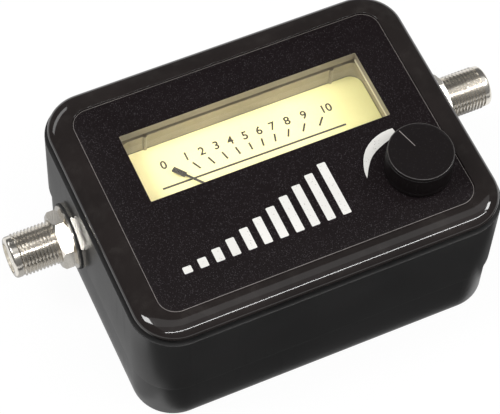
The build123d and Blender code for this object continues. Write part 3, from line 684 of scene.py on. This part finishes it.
@dataclass
class Case:
    """The front cover, the wall ring, the back cover and the case screws, in millimetres."""

    shop: Workshop
    window: Plan
    knob: Pair
    bush_hole: float
    plan: Plan = Plan(81.9, 62.5, 9.0)
    recess: Plan = Plan(71.3, 52.3, 4.15)
    roll: float = 2.1
    reach: float = 4.4
    edge: float = 0.15
    top: float = 36.1
    ceiling: float = 33.6
    floor: float = 35.6
    lip: float = 0.12
    lip_depth: float = 1.2
    lip_gap: float = 0.1
    lip_wall: float = 0.8
    wall_step: float = 0.65
    wall: float = 3.3
    seam: float = 12.7
    groove_low: float = 32.4
    groove_depth: float = 1.6
    ring_edge: float = 0.5

    def cover(self) -> None:
        """The glossy cover, rolled over at its rim, with the label's recess and the window."""
        lip_out = self.wall - self.wall_step + self.lip_gap
        lip_low = self.ceiling - self.lip_depth
        lip_outer, lip_inner = self.plan.outline(-lip_out), self.plan.outline(-lip_out - self.lip_wall)
        rows = [(lip_inner, self.ceiling), (lip_inner, lip_low),
                (lip_outer, lip_low), (lip_outer, self.ceiling),
                (self.plan.outline(-self.lip), self.ceiling),
                (self.plan.outline(), self.ceiling + self.lip)]
        for x, z in arc_steps(self.roll, 0, 90, steps=16):
            rows.append((self.plan.outline(self.reach * (x / self.roll - 1.0)), self.top - self.roll + z))
        for x, z in arc_steps(self.edge, 90, 0, steps=4):
            rows.append((self.recess.outline(self.edge - x), self.top - self.edge + z))
        rows.append((self.recess.outline(), self.floor))
        shape = Shaper("cover_shell")
        rings = shape.loft(rows)
        cut = shape.loft([(self.window.outline(), level) for level in (self.floor, self.ceiling)])
        hole = circle(self.bush_hole, *self.knob)
        bore = shape.loft([(hole, level) for level in (self.floor, self.ceiling)])
        shape.fill((rings[-1], cut[0], bore[0]))
        shape.fill((rings[0], cut[1], bore[1]))
        self.shop.piece(shape.finish(), "cover_gloss", "cover_gloss", replaces=("front_cover",))

    def ring(self) -> None:
        """The satin wall with the shadow groove under the cover."""
        inner = self.plan.outline(self.wall_step - self.wall)
        groove = self.plan.outline(self.wall_step - self.groove_depth)
        rows = [(inner, self.seam)]
        for x, z in arc_steps(self.ring_edge, -90, 0, steps=6):
            outline = self.plan.outline(self.wall_step - self.ring_edge + x)
            rows.append((outline, self.seam + self.ring_edge + z))
        for x, z in arc_steps(self.edge, 0, 90, steps=4):
            outline = self.plan.outline(self.wall_step - self.edge + x)
            rows.append((outline, self.groove_low - self.edge + z))
        rows += [(groove, self.groove_low), (groove, self.ceiling), (inner, self.ceiling)]
        shape = Shaper("wall_shell")
        shape.loft(rows, closed=True)
        self.shop.piece(shape.finish(), "case_satin", "case_satin", replaces=("wall_ring",))

    def build(self) -> None:
        """Builds and dresses the whole case."""
        self.cover()
        self.ring()
        self.shop.dress("back_cover", "case_screws")


@dataclass
class FaceLabel:
    """The printed sheet on the cover, with its prints, in millimetres."""

    shop: Workshop
    window: Plan
    knob: Pair
    plan: Plan = Plan(71.0, 52.0, 4.0)
    low: float = 35.6
    top: float = 35.8
    edge: float = 0.1
    hole: float = 6.1
    ink: float = 0.012
    line_width: float = 0.09
    line_gap: float = 0.01
    line_rise: float = 0.008
    bar_count: int = 11
    bar_pitch: float = 3.55
    bar_width: float = 1.9
    bar_corner: float = 0.25
    bar_left: float = -27.0
    bar_base: float = -18.6
    bar_low: float = 1.6
    bar_high: float = 13.2
    bar_power: float = 1.25

    def sheet(self) -> None:
        """The sheet with its cut-outs."""
        shape = Shaper("label_sheet")
        outer = shape.loft([(self.plan.outline(), self.low),
                            (self.plan.outline(), self.top - self.edge / 2),
                            (self.plan.outline(-self.edge), self.top)])
        cut = shape.loft([(self.window.outline(), level) for level in (self.low, self.top)])
        bore = shape.loft([(circle(self.hole, *self.knob), level) for level in (self.low, self.top)])
        shape.fill((outer[-1], cut[1], bore[1]))
        shape.fill((outer[0], cut[0], bore[0]))
        self.shop.piece(shape.finish(), "label_black", "label_black", replaces=("face_label",))

    def rim(self) -> None:
        """The sheet's pale cut edge, a thin line round it."""
        outer = self.plan.outline(self.line_gap)
        inner = self.plan.outline(self.line_gap - self.line_width)
        low = self.top - self.edge
        shape = Shaper("label_rim")
        shape.loft([(outer, low), (outer, self.top - self.line_gap), (inner, self.top + self.line_rise),
                    (inner, low)], closed=True)
        self.shop.piece(shape.finish(), "label_edge", "label_black")

    def crescent(self) -> None:
        """The widening arc beside the knob that shows which way the gain rises."""
        outer = ((92, 11.13), (98, 11.27), (105, 11.39), (112, 11.5), (119, 11.59), (126, 11.63),
                 (133, 11.64), (140, 11.55), (145.5, 11.45), (153, 11.3), (160, 11.16), (165, 11.03),
                 (169, 10.9))
        inner = ((166, 10.68), (160, 10.4), (154.6, 10.19), (146, 9.98), (138.9, 9.8), (130, 9.52),
                 (122.9, 9.28), (114, 9.12), (105.6, 9.07), (99, 9.4), (91.5, 10.08))
        points = [polar(radius, degrees, *self.knob) for degrees, radius in (*outer, *inner)]
        shape = Shaper("gain_crescent")
        shape.prism(points, self.top - self.ink, self.top + self.ink)
        self.shop.piece(shape.finish(), "print_white", "label_black")

    def bars(self) -> None:
        """A row of rising bars, the common sign for signal strength."""
        shape = Shaper("signal_bars")
        for index in range(self.bar_count):
            share = (index / (self.bar_count - 1)) ** self.bar_power
            height = self.bar_low + (self.bar_high - self.bar_low) * share
            bar = Plan(self.bar_width, height, self.bar_corner, self.bar_left + index * self.bar_pitch,
                       self.bar_base + height / 2)
            shape.prism(bar.outline(), self.top - self.ink, self.top + self.ink)
        self.shop.piece(shape.finish(), "print_white", "label_black")

    def build(self) -> None:
        """Builds the sheet and its prints."""
        self.sheet()
        self.rim()
        self.crescent()
        self.bars()


@dataclass
class PanelMeter:
    """The clear cover, the dial with its print, and the movement, in millimetres."""

    shop: Workshop
    window: Plan
    inner_length: float = 56.8
    back: float = 16.8
    front: float = -3.7
    corner: float = 3.0
    wall: float = 1.2
    wall_gap: float = 0.02
    dial_top: float = 27.6
    lens_bottom: float = 32.6
    lens_top: float = 33.6
    pivot: Pair = (-1.2, -12.0)
    half_width: float = 12.3
    rib_x: float = 21.8
    rib_radius: float = 0.45
    rib_gap: float = 0.1
    rib_steps: int = 20
    liner_gap: float = 0.02
    liner_wall: float = 0.05
    liner_height: float = 2.15
    gleam_gap: float = 0.1
    gleam_wall: float = 0.18
    gleam_ends: Pair = (0.5, 0.6)
    gleam_levels: Pair = (0.05, 0.5)
    ink: float = 0.012
    digit_size: float = 2.8
    digit_weight: float = 0.06
    tick_width: float = 0.42
    line_width: float = 0.46

    def plan(self, grow: float) -> list[Pair]:
        """The T-shaped outline of the meter.

        Args:
            grow: how much wider it is drawn on each side.

        Returns:
            The outline's points, anticlockwise.
        """
        left, right = -self.inner_length / 2 - grow, self.inner_length / 2 + grow
        back, front = self.back + grow, self.front - grow
        foot = self.pivot[1] - self.half_width - grow
        inner_left = self.pivot[0] - self.half_width - grow
        inner_right = self.pivot[0] + self.half_width + grow
        radius = self.corner + grow
        corners = ((right, back, 0), (left, back, 90), (left, front, 180), (inner_left, front, None),
                   (inner_left, foot, 180), (inner_right, foot, 270), (inner_right, front, None),
                   (right, front, 270))
        points: list[Pair] = []
        for x, y, start in corners:
            if start is None:
                points.append((x, y))
                continue
            middle = math.radians(start + 45)
            centre = (x - math.copysign(radius, math.cos(middle)),
                      y - math.copysign(radius, math.sin(middle)))
            points += arc_steps(radius, start, start + 90, 8, *centre)
        return points

    def shell(self) -> None:
        """The clear cover: frosted walls and a polished lens, with two trims at the window's edges. The
        walls and the liner carry a painted glow, and the bar at the window's right end is a painted
        highlight.
        """
        outer, inner, low = self.plan(self.wall), self.plan(0.0), self.dial_top + self.wall_gap
        walls = Shaper("window_walls")
        walls.loft([(inner, low), (inner, self.lens_bottom), (outer, self.lens_bottom), (outer, low)],
                   closed=True)
        for side in Side:
            rib = circle(self.rib_radius, side.value * self.rib_x, self.back, self.rib_steps)
            walls.prism(rib, self.dial_top + self.rib_gap, self.lens_bottom)
        self.shop.piece(walls.finish(), "lens_wall", "clear_plastic", replaces=("meter_window",))
        # The liner inside the window's cut carries the walls' painted glow.
        low, high = self.lens_top + self.liner_gap, self.lens_top + self.liner_height
        wide = self.window.outline(-self.liner_gap)
        narrow = self.window.outline(-self.liner_gap - self.liner_wall)
        liner = Shaper("window_liner")
        liner.loft([(wide, low), (wide, high), (narrow, high), (narrow, low)], closed=True)
        self.shop.piece(liner.finish(), "lens_wall", "clear_plastic")
        # A glowing bar at the window's right end: a painted highlight.
        right = self.window.x + self.window.length / 2 - self.gleam_gap
        left = right - self.gleam_wall
        near = self.window.y - self.window.width / 2 + self.gleam_ends[0]
        far = self.window.y + self.window.width / 2 - self.gleam_ends[1]
        gleam = Shaper("window_gleam")
        gleam.prism(((right, near), (right, far), (left, far), (left, near)),
                    *(self.lens_top + level for level in self.gleam_levels))
        self.shop.piece(gleam.finish(), "window_edge", "clear_plastic")
        lens = Shaper("window_lens")
        lens.prism(outer, self.lens_bottom, self.lens_top)
        self.shop.piece(lens.finish(), "clear_plastic", "clear_plastic")

    def scale(self) -> None:
        """The scale on the dial: ten ticks that fan out, the line below them, and the numbers."""
        ticks = (((-13.82, 9.69), (-12.8, 7.7)), ((-10.29, 9.58), (-9.54, 7.62)),
                 ((-7.04, 9.62), (-6.52, 7.64)), ((-3.9, 9.62), (-3.6, 7.68)),
                 ((-0.8, 9.52), (-0.75, 7.65)), ((2.1, 9.47), (1.83, 7.57)),
                 ((5.14, 9.45), (4.63, 7.56)), ((8.49, 9.41), (7.6, 7.59)),
                 ((12.27, 9.33), (11.09, 7.55)), ((16.5, 9.35), (14.97, 7.51)))
        lines = [line_outline(start, end, self.tick_width) for start, end in ticks]
        lines.append(line_outline((-22.22, 6.03), (20.38, 5.65), self.line_width))
        shape = Shaper("dial_ticks")
        for line in lines:
            shape.prism(line, self.dial_top - self.ink, self.dial_top + self.ink)
        self.shop.piece(shape.finish(), "dial_print", "dial_cream")
        centres = ((-19.75, 11.52), (-14.48, 11.64), (-10.92, 11.58), (-7.51, 11.69), (-4.28, 11.64),
                   (-0.86, 11.56), (2.45, 11.54), (5.58, 11.45), (9.0, 11.45), (12.93, 11.4),
                   (18.31, 11.08))
        for number, centre in enumerate(centres):
            self.digit(number, centre)

    def digit(self, number: int, centre: Pair) -> None:
        """Prints one number of the scale.

        Args:
            number: the number.
            centre: its centre.
        """
        name = f"dial_number_{number}"
        curve = bpy.data.curves.new(name, "FONT")
        curve.body = str(number)
        curve.align_x = curve.align_y = "CENTER"
        curve.size = self.digit_size * MM
        curve.extrude = self.ink * MM
        curve.offset = self.digit_weight * MM
        holder = add_object("holder", curve)
        drawn = holder.evaluated_get(bpy.context.evaluated_depsgraph_get())
        mesh = bpy.data.meshes.new_from_object(drawn)
        bpy.data.objects.remove(holder)
        mesh.name = name
        across, along = zip(*(vertex.co.xy for vertex in mesh.vertices), strict=True)
        middle = Vector((min(across) + max(across), min(along) + max(along), 0.0)) / 2
        shift = Vector((*centre, self.dial_top)) * MM - middle
        for vertex in mesh.vertices:
            vertex.co += shift
        self.shop.piece(mesh, "dial_print", "dial_cream")

    def build(self) -> None:
        """Builds the clear cover and the print, and dresses the rest."""
        self.shell()
        self.scale()
        self.shop.dress("meter_tray", "dial_plate", "dial_screws", "magnet_ring", "core_magnet",
                        "core_arms", "lower_bridge", "upper_bridge", "lower_jewel", "upper_jewel",
                        "moving_coil", "pivot_pins", "pointer", "upper_hairspring", "lower_hairspring",
                        "meter_terminals", "dial_lamps")


@dataclass
class GainControl:
    """The knob and the rotary control behind the face, in millimetres.

    The knob's profile is given in steps out and up: foot from the base, waist and dish from the top.
    """

    shop: Workshop
    centre: Pair = (26.6, -14.6)
    bush_hole: float = 3.65
    bottom: float = 36.2
    top: float = 42.7
    base_radius: float = 7.2
    top_radius: float = 7.05
    cavity_top: float = 38.7
    cavity_step: float = -0.9
    foot: tuple[Pair, ...] = ((-0.12, 0.0), (0.0, 0.12), (0.0, 0.9), (-0.06, 1.0))
    waist: tuple[Pair, ...] = ((0.03, -0.85), (-0.05, -0.8), (-0.05, -0.72), (0.01, -0.66))
    dish: tuple[Pair, ...] = ((-0.42, 0.0), (-0.5, -0.06))
    rim_radius: float = 0.28
    rim_profile: tuple[Pair, ...] = ((-0.1, -0.12), (-0.1, -0.04), (-0.18, 0.0), (-0.26, 0.0),
                                     (-0.26, -0.12))
    sharp: float = 26.0
    line_angle: float = 107.0
    line_start: float = 1.75
    line_gap: float = 0.45
    line_width: float = 0.16
    line_levels: Pair = (-0.12, -0.045)

    def turned(self, steps: Sequence[Pair], radius: float, z: float) -> list[Row]:
        """Level circles about the knob's axis, by steps out and up from a radius and a level."""
        return [(circle(radius + out, *self.centre), z + up) for out, up in steps]

    def knob(self) -> None:
        """The knob as one turned solid with a fine rim."""
        inside = [(self.cavity_step, self.cavity_top - self.bottom), (self.cavity_step, 0.0)]
        rounding = [(x - self.rim_radius, z - self.rim_radius)
                    for x, z in arc_steps(self.rim_radius, 0, 90, steps=6)]
        shape = Shaper("knob_cap")
        rings = shape.loft(self.turned((*inside, *self.foot), self.base_radius, self.bottom)
                           + self.turned((*self.waist, *rounding, *self.dish), self.top_radius, self.top))
        shape.cap(rings[0])
        shape.cap(rings[-1])
        self.shop.piece(shape.finish(self.sharp), "knob_black", "knob_black", Body.KNOB,
                        replaces=("control_knob",))

    def rim(self) -> None:
        """The polished ring at the top's edge."""
        shape = Shaper("knob_rim_ring")
        shape.loft(self.turned(self.rim_profile, self.top_radius, self.top), closed=True)
        self.shop.piece(shape.finish(), "knob_rim", "knob_black", Body.KNOB)

    def line(self) -> None:
        """The fine line on the knob's top, from near its centre to the rim."""
        start, end = (polar(radius, self.line_angle, *self.centre)
                      for radius in (self.line_start, self.top_radius - self.line_gap))
        shape = Shaper("knob_line")
        outline = line_outline(start, end, self.line_width)
        shape.prism(outline, *(self.top + level for level in self.line_levels))
        self.shop.piece(shape.finish(), "label_edge", "knob_black", Body.KNOB)

    def build(self) -> None:
        """Builds the knob and dresses the control behind it."""
        self.knob()
        self.rim()
        self.line()
        self.shop.dress("pot_housing", "pot_wafer", "pot_shaft", "pot_washer", "pot_nut")


@dataclass
class Connector:
    """One aerial connector with its nuts and washers."""

    shop: Workshop
    side: Side

    def build(self) -> None:
        """Dresses the connector's nodes."""
        parts = ("connector_barrel", "connector_insulator", "connector_contact", "lock_nut",
                 "rubber_washer", "flat_washer", "hex_nut")
        self.shop.dress(*(f"{self.side.prefix}_{part}" for part in parts))


@dataclass
class BoardParts:
    """The circuit board and what stands on it."""

    shop: Workshop

    def build(self) -> None:
        """Dresses the board and its parts."""
        self.shop.dress("circuit_board", "board_screws", "amplifier_chip", "can_capacitors",
                        "transistors", "resistors", "buzzer_case", "buzzer_disc")


@dataclass(frozen=True)
class Lamp:
    """A soft box that points at the meter. Lengths are in metres, the power in watts."""

    name: str
    place: Triple
    size: Pair
    power: float


@dataclass(frozen=True)
class Screen:
    """A grey screen that only shows in reflections, so that dark plastic stays dark, in millimetres.

    It is flat between two edges that run along X, the near one at one level and the far one at another.
    """

    name: str
    left: float
    right: float
    near: Pair
    far: Pair
    shade: float


@dataclass
class Studio:
    """The floor, the light and the camera, in metres."""

    eye: Triple = (-0.117718, -0.216221, 0.42451)
    turn: tuple[float, float, float, float] = (0.942912, 0.257239, -0.072497, -0.19872)
    lens: float = 158.92
    sensor: float = 36.0
    clip: Pair = (0.01, 20.0)
    floor_size: float = 4.0
    floor_color: Triple = (0.86, 0.86, 0.86)
    floor_lift: float = 0.94
    sky: float = 0.64
    aim_share: float = 0.5
    aim_height: float = 0.02
    tent_radius: float = 1.6
    tent_top: float = 84.0
    tent_rows: int = 14
    tent_shade: float = 0.13
    screens: tuple[Screen, ...] = (
        Screen("front_screen", -800, 1200, (-1100, 300), (-678.8, 807), 0.2),
        Screen("front_glow", -800, 1200, (-678.8, 807), (-560, 950), 0.3),
        Screen("rim_glow", -520, 900, (-455, 955), (-110, 955), 0.4),
        Screen("front_flag", -80, 120, (-110, 0.4), (-32, 0.4), 0.07),
        Screen("left_flag", -62, -41.7, (-32, 0.4), (60, 0.4), 0.5),
        Screen("right_flag", 41.7, 58, (-32, 0.4), (60, 0.4), 0.24),
        Screen("strip_glow", -520, 900, (-110, 960), (210, 960), 0.85),
    )
    lamps: tuple[Lamp, ...] = (
        Lamp("top_strip", (0.12, -0.47, 0.9), (1.4, 0.03), 5.0),
        Lamp("left_box", (-0.58, 0.14, 0.92), (0.24, 0.4), 4.6),
        Lamp("right_box", (0.8, -0.14, 0.86), (0.24, 0.16), 2.2),
        Lamp("back_box", (-0.25, 0.6, 0.5), (0.5, 0.12), 0.6),
    )

    def camera(self) -> None:
        """Sets the camera where the photograph was taken from."""
        data = bpy.data.cameras.new("camera")
        data.sensor_width = self.sensor
        data.lens = self.lens
        data.clip_start, data.clip_end = self.clip
        made = add_object("camera", data)
        made.location = self.eye
        made.rotation_mode = "QUATERNION"
        made.rotation_quaternion = Quaternion(self.turn)
        bpy.context.scene.camera = made

    def seen(self, tree: Tree) -> Socket:
        """A mask of the rays that see the background as it is.

        Args:
            tree: the tree to add it to.

        Returns:
            The mask's socket: camera, glossy and transmission rays.
        """
        path = tree.add("LightPath").outputs
        first = tree.math("MAXIMUM", path["Is Camera Ray"], path["Is Glossy Ray"])
        return tree.math("MAXIMUM", first, path["Is Transmission Ray"])

    def floor(self) -> None:
        """A pale floor that keeps a soft shadow."""
        half = self.floor_size / 2 / MM
        shape = Shaper("floor")
        shape.cap(shape.ring([(-half, -half), (half, -half), (half, half), (-half, half)], 0.0))
        made = add_object("floor", shape.finish())
        material = bpy.data.materials.new("pale_floor")
        tree = node_tree(material)
        matte = tree.fill(tree.add("BsdfDiffuse"), Color=self.floor_color)
        white = tree.fill(tree.add("Emission"), Strength=1.0)
        share = tree.math("MULTIPLY", self.seen(tree), self.floor_lift)
        blend = tree.fill(tree.add("MixShader"), Fac=share)
        tree.put(blend.inputs[1], matte.outputs[0])
        tree.put(blend.inputs[2], white.outputs[0])
        tree.fill(tree.add("OutputMaterial"), Surface=blend.outputs[0])
        made.data.materials.append(material)

    def world(self) -> None:
        """An even pale sky, white where it is seen."""
        made = bpy.data.worlds.new("studio")
        tree = node_tree(made)
        lift = tree.math("MULTIPLY", self.seen(tree), 1.0 - self.sky)
        strength = tree.math("ADD", lift, self.sky)
        back = tree.fill(tree.add("Background"), Color=(1.0, 1.0, 1.0), Strength=strength)
        tree.fill(tree.add("OutputWorld"), Surface=back.outputs[0])
        bpy.context.scene.world = made

    def light(self, lamp: Lamp) -> None:
        """Hangs up a lamp and points it at the meter.

        Args:
            lamp: the lamp.
        """
        data = bpy.data.lights.new(lamp.name, "AREA")
        data.shape = "RECTANGLE"
        data.size, data.size_y = lamp.size
        data.energy = lamp.power
        made = add_object(lamp.name, data)
        made.location = lamp.place
        aim = Vector((lamp.place[0] * self.aim_share, 0.0, self.aim_height)) - Vector(lamp.place)
        made.rotation_mode = "QUATERNION"
        made.rotation_quaternion = aim.to_track_quat("-Z", "Y")

    def hang(self, shape: Shaper, shade: float) -> None:
        """Hangs up something that only shows in reflections.

        Args:
            shape: its shape.
            shade: how bright it looks.
        """
        made = add_object(shape.name, shape.finish())
        material = bpy.data.materials.new(shape.name)
        tree = node_tree(material)
        glow = tree.fill(tree.add("Emission"), Color=(shade, shade, shade))
        tree.fill(tree.add("OutputMaterial"), Surface=glow.outputs[0])
        made.data.materials.append(material)
        made.visible_camera = made.visible_diffuse = made.visible_shadow = False
        made.visible_transmission = made.visible_volume_scatter = False

    def tent(self) -> None:
        """Puts a dark tent over the table."""
        shape = Shaper("tent")
        arc = arc_steps(self.tent_radius / MM, 0, self.tent_top, self.tent_rows)
        shape.cap(shape.loft([(circle(x), z) for x, z in arc])[-1])
        self.hang(shape, self.tent_shade)

    def screen(self, screen: Screen) -> None:
        """Hangs up a screen.

        Args:
            screen: the screen.
        """
        shape = Shaper(screen.name)
        near, far = (shape.ring([(screen.left, y), (screen.right, y)], z)
                     for y, z in (screen.near, screen.far))
        shape.cap([*near, *reversed(far)])
        self.hang(shape, screen.shade)

    def build(self) -> None:
        """Sets up the camera, the floor, the sky, the tent, the screens and the lamps."""
        self.camera()
        self.floor()
        self.world()
        self.tent()
        for screen in self.screens:
            self.screen(screen)
        for lamp in self.lamps:
            self.light(lamp)
        bpy.context.scene.view_settings.view_transform = "Standard"


def main() -> None:
    """Builds the meter's looks round the loaded frame."""
    logging.basicConfig(level=logging.INFO, format="%(message)s")
    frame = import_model()
    shop = Workshop(frame)
    window = Plan(length=54.9, width=17.3, corner=0.3, x=-0.1, y=8.45)
    control = GainControl(shop)
    Case(shop, window, control.centre, control.bush_hole).build()
    FaceLabel(shop, window, control.centre).build()
    PanelMeter(shop, window).build()
    control.build()
    for side in Side:
        Connector(shop, side).build()
    BoardParts(shop).build()
    Studio().build()


if __name__ == "__main__":
    main()
